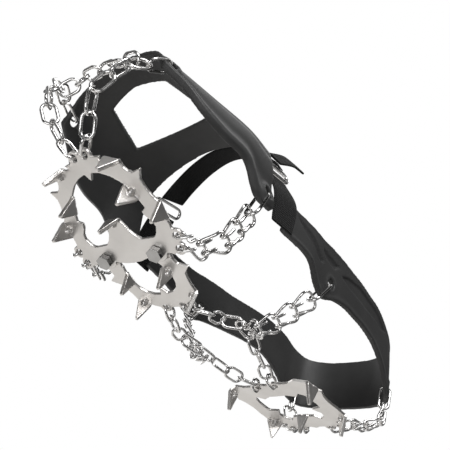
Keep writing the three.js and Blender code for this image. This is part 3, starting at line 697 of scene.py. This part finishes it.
TAIL_ACROSS = np.array(Vector((0.6, 0.2, -0.72)).normalized())


def ribbon(name, surface, length, width, thickness, mat, body, nu=60, nv=16):
    """A woven ribbon: surface(t, s) is its outer face, t along it. UVs are in millimetres."""
    grid = np.array([[surface(i / nu, j / nv) for j in range(nv + 1)] for i in range(nu + 1)])
    normal = np.cross(np.gradient(grid, axis=0), np.gradient(grid, axis=1))
    normal /= np.linalg.norm(normal, axis=2, keepdims=True)
    edge = np.array([abs(2 * j / nv - 1) for j in range(nv + 1)])
    thin = thickness * (1 - 0.45 * np.clip((edge - 0.86) / 0.14, 0, 1) ** 2)
    stitch = -0.22 * np.exp(-(((edge - 0.8) / 0.05) ** 2))
    sag = (thickness - thin) / 2
    outer = grid + normal * (stitch - sag)[None, :, None]
    inner = grid - normal * (thickness - sag)[None, :, None]
    base = (nu + 1) * (nv + 1)
    verts = [*outer.reshape(-1, 3), *inner.reshape(-1, 3)]
    uvs = [(i / nu * length, j / nv * width) for _ in range(2) for i in range(nu + 1) for j in range(nv + 1)]

    def at(i, j, layer):
        return layer * base + i * (nv + 1) + j

    faces = []
    for i in range(nu):
        for j in range(nv):
            faces.append((at(i, j, 0), at(i + 1, j, 0), at(i + 1, j + 1, 0), at(i, j + 1, 0)))
            faces.append((at(i, j, 1), at(i, j + 1, 1), at(i + 1, j + 1, 1), at(i + 1, j, 1)))
        faces.append((at(i, 0, 0), at(i, 0, 1), at(i + 1, 0, 1), at(i + 1, 0, 0)))
        faces.append((at(i, nv, 0), at(i + 1, nv, 0), at(i + 1, nv, 1), at(i, nv, 1)))
    for j in range(nv):
        faces.append((at(0, j, 0), at(0, j + 1, 0), at(0, j + 1, 1), at(0, j, 1)))
        faces.append((at(nu, j, 0), at(nu, j, 1), at(nu, j + 1, 1), at(nu, j + 1, 0)))
    obj = add_mesh("visual_" + name, [metres(v) for v in verts], faces, mat)
    layer = obj.data.uv_layers.new(name="UVMap")
    loops = np.zeros(len(obj.data.loops), int)
    obj.data.loops.foreach_get("vertex_index", loops)
    layer.data.foreach_set("uv", np.array(uvs)[loops].ravel())
    fix_normals(obj)
    soft = obj.modifiers.new("soft", "SUBSURF")
    soft.levels = soft.render_levels = 1
    apply_modifiers(obj)
    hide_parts(name)
    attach(obj, body)


def strap_surface(t, s):
    return strap_line(t) + STRAP_ACROSS * (s - 0.5) * STRAP_W


def tail_surface(t, s):
    return tail_line(t) + TAIL_ACROSS * (0.5 - s) * TAIL_W


ribbon("instep_strap", strap_surface, 112, STRAP_W, WEBBING, LOOP, "forefoot")
ribbon("strap_tail", tail_surface, 32, TAIL_W, WEBBING, WOVEN, "strap_tail")

side_top = BUCKLE + BUCKLE_DOWN * TAB
front_edge = catmull([(59.2, -30.3, 55.5), (58.4, -35, 76), tuple(side_top - BUCKLE_ALONG * STRAP_W / 2)])
rear_edge = catmull([(61.3, -12.5, 57.5), (60.4, -13.5, 80), tuple(side_top + BUCKLE_ALONG * STRAP_W / 2)])
for tag, turn in (("near", 1), ("far", -1)):
    def side_surface(t, s, turn=turn):
        s = 1 - s if turn > 0 else s
        return (front_edge(t) * (1 - s) + rear_edge(t) * s) * np.array((turn, 1, 1))
    ribbon(f"side_webbing_{tag}", side_surface, 48, STRAP_W, WEBBING, WOVEN, "forefoot", nu=40)

# ---- chains ----
CHAIN_SIDES = 12


def stadium(a, b, flat, radius, width):
    """The centre line of an oval link from a to b."""
    r = width / 2 - radius
    half = max((a - b).length / 2 - r, 0)
    along = (b - a).normalized()
    across = (flat - along * flat.dot(along)).normalized()
    mid = (a + b) / 2
    line = []
    for sign in (1, -1):
        for k in range(13):
            angle = math.pi * (k / 12 - 0.5)
            reach = half + r * math.cos(angle)
            line.append(mid + along * sign * reach + across * sign * r * math.sin(angle))
        nxt = across * sign * r
        for k in (1, 2, 3):
            line.append(mid + nxt + along * sign * half * (1 - k / 2))
    return [metres(p) for p in line]


def oval(a, b, flat, radius=WIRE_R, width=LINK_W):
    return tube(stadium(a, b, flat, radius, width), radius / 1000, True, CHAIN_SIDES)


def square_to(v, along):
    return (v - along * v.dot(along)).normalized()


TOUCH = 0.78 * WIRE_R  # how far neighbouring oval links reach into each other


def directions(points):
    return [(b - a).normalized() for a, b in zip(points, points[1:])]


def link_flats(points, start_flat, end_flat):
    along = directions(points)
    flats = [square_to(start_flat, along[0])]
    for i in range(1, len(along)):
        turn = along[i - 1].rotation_difference(along[i])
        flats.append(Quaternion(along[i], math.pi / 2) @ (turn @ flats[i - 1]))
    wanted = square_to(end_flat, along[-1])
    twist = math.atan(flats[-1].cross(wanted).dot(along[-1]) / flats[-1].dot(wanted))
    return [Quaternion(d, twist * i / (len(along) - 1)) @ f for i, (d, f) in enumerate(zip(along, flats))]


def oval_run(points, start_flat, end_flat, start, end):
    along = directions(points)
    links = []
    for i, flat in enumerate(link_flats(points, start_flat, end_flat)):
        a = points[i] - along[i] * (TOUCH if i else start)
        b = points[i + 1] + along[i] * (TOUCH if i < len(along) - 1 else end)
        links.append(oval(a, b, flat))
    return links


HOOK_TAIL, KNEE, CORNER = 5.0, 4.6, 1.8  # lengths along a ladder link's wire, by its hooks and crossbar


def ladder_link(p, e, q, f, hook_half, bend_r, side):
    chain = q - p
    y = square_to(chain, e)
    z = e.cross(y) * side

    def at(base, dy, dz):
        return base + y * dy + z * dz

    def half(s):
        a = p + e * s * hook_half
        corner = q + f * s * RAIL
        angles = map(math.radians, (-90, -150, -210, -270))
        turns = [at(a, bend_r * math.cos(r), bend_r * math.sin(r)) for r in angles]
        inward = square_to(chain, f)
        leg = [corner - inward * KNEE, corner - inward * CORNER, corner - f * s * CORNER]
        return [at(a, HOOK_TAIL, -bend_r), *turns, *leg]

    line = [*half(-1), *reversed(half(1))]
    return tube([metres(v) for v in through(line, 4)], WIRE_R / 1000, False, CHAIN_SIDES)


def metal(name, shapes, body):
    verts, faces = joined(shapes)
    obj = add_mesh("visual_" + name, verts, faces, NICKEL)
    fix_normals(obj)
    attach(obj, body)
    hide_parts(name)


def hole(place, uv, side=1):
    return place @ Vector((side * uv[0], uv[1], SHEET / 2))


TOE_NEAR = [(18.2, -129, 33), (22, -136, 41.5), (26.5, -142.5, 50.5), (33, -141.5, 60.5), (38, -139, 70.5),
            (40.5, -131.5, 79)]
TOE_FAR = [(-3, -131.5, 38), (-7.5, -139.8, 45.5), (-10.5, -146.5, 54.8), (-14, -149.5, 66), (-19, -148, 77),
           (-25.5, -145, 86.3), (-35.5, -135, 89)]
TOE_CROSS = [(27, -138.5, 81.5), (16, -139.5, 84.5), (5, -140.5, 86.5), (-6, -141, 87), (-14, -141, 86)]
CROSS_LINK = 5  # the link of each toe chain that the cross chain hooks round
FRONT_ROUTE = [(41.5, -54.5, 18), (50.5, -49, 25.5), (54, -47, 36), (56, -44.5, 48)]
MID_ROUTE = [(26, 22, 20.5), (34.5, 26, 28), (43.5, 29, 36.5), (52.5, 31.5, 45.5)]
HEEL_ROUTE = [(31, 141, 18), (35, 152, 22.5), (41.5, 159.5, 30), (41, 162.5, 42.5)]
ARCH_NEAR = [(1.5, -11, 15.8), (7, -1.5, 18), (5.5, 9.7, 21.3), (11.4, 19, 24.7), (14.2, 29.7, 21),
             (12.2, 40.5, 17.5), (10.5, 51.7, 14.2), (7.5, 62.7, 12.2)]
ARCH_FAR = [(-15.2, -11.3, 12.4), (-20.7, -1, 11.3), (-24.3, 10, 12.4), (-19.7, 21, 11.4),
            (-14.3, 31.3, 8.7), (-9, 41.8, 6.6), (-7, 53.4, 7.2), (-4.6, 64.6, 9.6)]
FRONT_EARS = [(3.8, -56.1), (35.2, -3.7), (33.3, 3.9)]
MID_EAR = (6.5, 35.9)
HEEL_EARS = [(7.2, 3.2), (20.5, 64.5), (11.5, 66.5)]
GRIP, GRIP_BEND, FOLD_LINK = 2.1, 2.5, 4
SIDE_RING_W, HEEL_RING_W = 10.4, 9.0


def route(points, side, near_from, far_from, to):
    if side > 0:
        return [near_from, *[Vector(p) for p in points], to]
    shift = far_from - mirror(near_from)
    count = len(points) + 1
    middle = [mirror(p) + shift * (1 - (i + 1) / count) ** 2 for i, p in enumerate(points)]
    return [far_from, *middle, mirror(to)]


def ear_rims(place, ear_a, ear_b, side):
    a, b = hole(place, ear_a, side), hole(place, ear_b, side)
    axis = (b - a).normalized()
    normal = (place.to_3x3() @ Vector((0, 0, 1))).normalized()
    out = axis.cross(normal) * side
    return (a + b) / 2 + out * (RIM_BEND + GAP / 2), axis, (a - b).length / 2


def add_ladder(name, side, points, eye, hook_axis, half, bend_r, ring_width, body, ring_body):
    along = (points[5] - points[4]).normalized()
    normal = eye[1] if side > 0 else mirror(eye[1])
    bars = normal.cross(along).normalized()
    if bars.dot(hook_axis) < 0:
        bars = -bars
    for i in range(4):
        held, spacing, bend = (bars, HOOK, HOOK_BEND) if i else (hook_axis, half, bend_r)
        link = ladder_link(points[i], held, points[i + 1], bars, spacing, bend, -side)
        metal(f"{name}_link_{i + 1}", [link], body)
    end = points[4] - along * (RING_R + WIRE_R + GAP)
    metal(f"{name}_ring", [oval(end, points[5], bars.cross(along), RING_R, ring_width)], ring_body)


UP = Vector((0, 0, 1))
holes = {
    tag: {
        "mid": hole(MID_FRAME, MID_EAR, s),
        "heel": hole(HEEL_FRAME, HEEL_EARS[0], s),
        "toe": hole(FRONT_FRAME, FRONT_EARS[0], s),
    }
    for tag, s in (("near", 1), ("far", -1))
}
folds = {}
for tag, side, line in (("near", 1, ARCH_NEAR), ("far", -1, ARCH_FAR)):
    whole = [holes[tag]["mid"], *[Vector(p) for p in line], holes[tag]["heel"]]
    slack = WIRE_R + FOLD_GAP / 2
    metal(f"arch_chain_fore_{tag}", oval_run(whole[: FOLD_LINK + 1], UP, UP, 0, slack), "forefoot")
    rear = oval_run(whole[FOLD_LINK:], Vector((1, 0, 0)), UP, slack, 0)
    metal(f"arch_chain_rear_{tag}", rear, "heel_half")
    p, q = whole[FOLD_LINK], whole[FOLD_LINK + 1]
    axis = (q - p).normalized()
    out = square_to(Vector((side, 0, 0)), axis)
    folds[tag] = ((p + q) / 2 + out * (LINK_W / 2 - WIRE_R), axis)

toe_normal = (FRONT_FRAME.to_3x3() @ UP).normalized()
ends = []
for tag, side, line in (("near", 1, TOE_NEAR), ("far", -1, TOE_FAR)):
    eye, last = TOE_EYELET if side > 0 else (mirror(TOE_EYELET[0]), mirror(TOE_EYELET[1]))
    points = [holes[tag]["toe"], *[Vector(p) for p in line], eye]
    metal(f"toe_chain_{tag}", oval_run(points, toe_normal, last, 0, 0), "forefoot")
    flat = link_flats(points, toe_normal, last)[CROSS_LINK]
    mid = (points[CROSS_LINK] + points[CROSS_LINK + 1]) / 2
    ends.append((mid + flat * (LINK_W / 2 - WIRE_R), directions(points)[CROSS_LINK]))
(start, start_wire), (end, end_wire) = ends
points = [start, *[Vector(p) for p in TOE_CROSS], end]
along = directions(points)
hooked = 2 * WIRE_R + GAP
start_flat, end_flat = along[0].cross(start_wire), along[-1].cross(end_wire)
metal("toe_cross_chain", oval_run(points, start_flat, end_flat, hooked, hooked), "toe_cross_chain")

for tag, side in (("near", 1), ("far", -1)):
    rims = {s: ear_rims(FRONT_FRAME, FRONT_EARS[1], FRONT_EARS[2], s) for s in (1, -1)}
    points = route(FRONT_ROUTE, side, rims[1][0], rims[-1][0], FRONT_EYELET[0])
    add_ladder(f"front_ladder_{tag}", side, points, FRONT_EYELET, rims[side][1], rims[side][2], RIM_BEND,
               SIDE_RING_W, "forefoot", f"front_ring_{tag}")

    points = route(MID_ROUTE, side, folds["near"][0], folds["far"][0], REAR_EYELET[0])
    add_ladder(f"arch_ladder_{tag}", side, points, REAR_EYELET, folds[tag][1], GRIP, GRIP_BEND, SIDE_RING_W,
               "heel_half", f"arch_ring_{tag}")

    rims = {s: ear_rims(HEEL_FRAME, HEEL_EARS[1], HEEL_EARS[2], s) for s in (1, -1)}
    points = route(HEEL_ROUTE, side, rims[1][0], rims[-1][0], HEEL_EYELET[0])
    add_ladder(f"heel_ladder_{tag}", side, points, HEEL_EYELET, rims[side][1], rims[side][2], RIM_BEND,
               HEEL_RING_W, "heel_half", f"heel_ring_{tag}")

    reach = STRAP_W / 2 + BUCKLE_SPARE
    a, b, flat = BUCKLE - BUCKLE_ALONG * reach, BUCKLE + BUCKLE_ALONG * reach, BUCKLE_DOWN
    if side < 0:
        a, b, flat = mirror(a), mirror(b), mirror(flat)
    metal(f"strap_buckle_{tag}", [oval(a, b, flat, BUCKLE_R, BUCKLE_W)], "forefoot")

# ---- staging: a pale floor, seen from above only, and soft light all round ----
floor_mat = bpy.data.materials.new("floor_pale")
floor_mat.use_nodes = True
tree = floor_mat.node_tree
tree.nodes.clear()
output = node(tree, "ShaderNodeOutputMaterial")
mix = node(tree, "ShaderNodeMixShader")
matte = node(tree, "ShaderNodeBsdfDiffuse")
matte.inputs["Color"].default_value = (0.82, 0.82, 0.82, 1)
clear = node(tree, "ShaderNodeBsdfTransparent")
side_of = node(tree, "ShaderNodeNewGeometry")
tree.links.new(side_of.outputs["Backfacing"], mix.inputs[0])
tree.links.new(matte.outputs[0], mix.inputs[1])
tree.links.new(clear.outputs[0], mix.inputs[2])
tree.links.new(mix.outputs[0], output.inputs["Surface"])
FLOOR, FLOOR_Z = 3.0, -0.0006  # half its side and its height, in metres
corners = [(x * FLOOR, y * FLOOR, FLOOR_Z) for x, y in ((-1, -1), (1, -1), (1, 1), (-1, 1))]
floor = add_mesh("floor", corners, [(0, 1, 2, 3)], floor_mat, False)
floor.visible_shadow = False
floor.visible_glossy = False
floor.visible_diffuse = False

world = bpy.data.worlds.new("studio")
scene.world = world
world.use_nodes = True
tree = world.node_tree
tree.nodes.clear()
output = node(tree, "ShaderNodeOutputWorld")
room = node(tree, "ShaderNodeBackground")
plain = node(tree, "ShaderNodeBackground", Strength=1.0)
plain.inputs["Color"].default_value = (1, 1, 1, 1)
mix = node(tree, "ShaderNodeMixShader")
path = node(tree, "ShaderNodeLightPath")
at = coords(tree, (1, 1, 1), "Generated")
patches = noise(tree, at, 2.2, 2)
room_tones = [(0.45, grey(0.01)), (0.51, grey(0.25)), (0.56, grey(1.0))]
tree.links.new(ramp(tree, patches, room_tones), room.inputs["Color"])
BRIGHT_SIDE = (0.588, -0.498, -0.637)
facing = node(tree, "ShaderNodeVectorMath", operation="DOT_PRODUCT")
facing.inputs[1].default_value = BRIGHT_SIDE
tree.links.new(at, facing.inputs[0])
share = node(tree, "ShaderNodeMapRange", interpolation_type="SMOOTHSTEP")
for key, value in (("From Min", -0.45), ("From Max", 0.35), ("To Min", 0.30), ("To Max", 0.62)):
    share.inputs[key].default_value = value
tree.links.new(facing.outputs["Value"], share.inputs["Value"])
tree.links.new(share.outputs["Result"], room.inputs["Strength"])
# one even pale wall, low on the far side, is what the flat plates reflect
WALL_SIDE = (-0.68, 0.38, -0.63)
wall = node(tree, "ShaderNodeBackground", Strength=0.74)
wall.inputs["Color"].default_value = (1.0, 0.985, 0.96, 1)
toward = node(tree, "ShaderNodeVectorMath", operation="DOT_PRODUCT")
toward.inputs[1].default_value = WALL_SIDE
tree.links.new(at, toward.inputs[0])
spot = node(tree, "ShaderNodeMapRange", interpolation_type="SMOOTHSTEP")
for key, value in (("From Min", 0.62), ("From Max", 0.80)):
    spot.inputs[key].default_value = value
tree.links.new(toward.outputs["Value"], spot.inputs["Value"])
lit_room = node(tree, "ShaderNodeMixShader")
tree.links.new(spot.outputs["Result"], lit_room.inputs[0])
tree.links.new(room.outputs[0], lit_room.inputs[1])
tree.links.new(wall.outputs[0], lit_room.inputs[2])
tree.links.new(path.outputs["Is Camera Ray"], mix.inputs[0])
tree.links.new(lit_room.outputs[0], mix.inputs[1])
tree.links.new(plain.outputs[0], mix.inputs[2])
tree.links.new(mix.outputs[0], output.inputs["Surface"])


def softbox(name, at, target, size, watts):
    data = bpy.data.lights.new(name, "AREA")
    data.shape = "RECTANGLE"
    data.size, data.size_y = size
    data.energy = watts
    obj = bpy.data.objects.new(name, data)
    obj.location = at
    obj.rotation_euler = (Vector(target) - Vector(at)).to_track_quat("-Z", "Y").to_euler()
    obj.visible_camera = False
    scene.collection.objects.link(obj)


softbox("key", (0.75, -0.55, 0.55), (0, 0, 0.05), (0.6, 0.5), 7.5)
softbox("under", (0.25, -0.6, -0.5), (0, 0, 0.03), (0.5, 0.3), 1.6)
softbox("top", (-0.2, 0.2, 1.0), (0, 0, 0.05), (0.9, 0.9), 3.6)
softbox("side", (-0.8, 0.1, 0.2), (0, 0, 0.05), (0.5, 0.6), 1.6)
scene.view_settings.view_transform = "Standard"
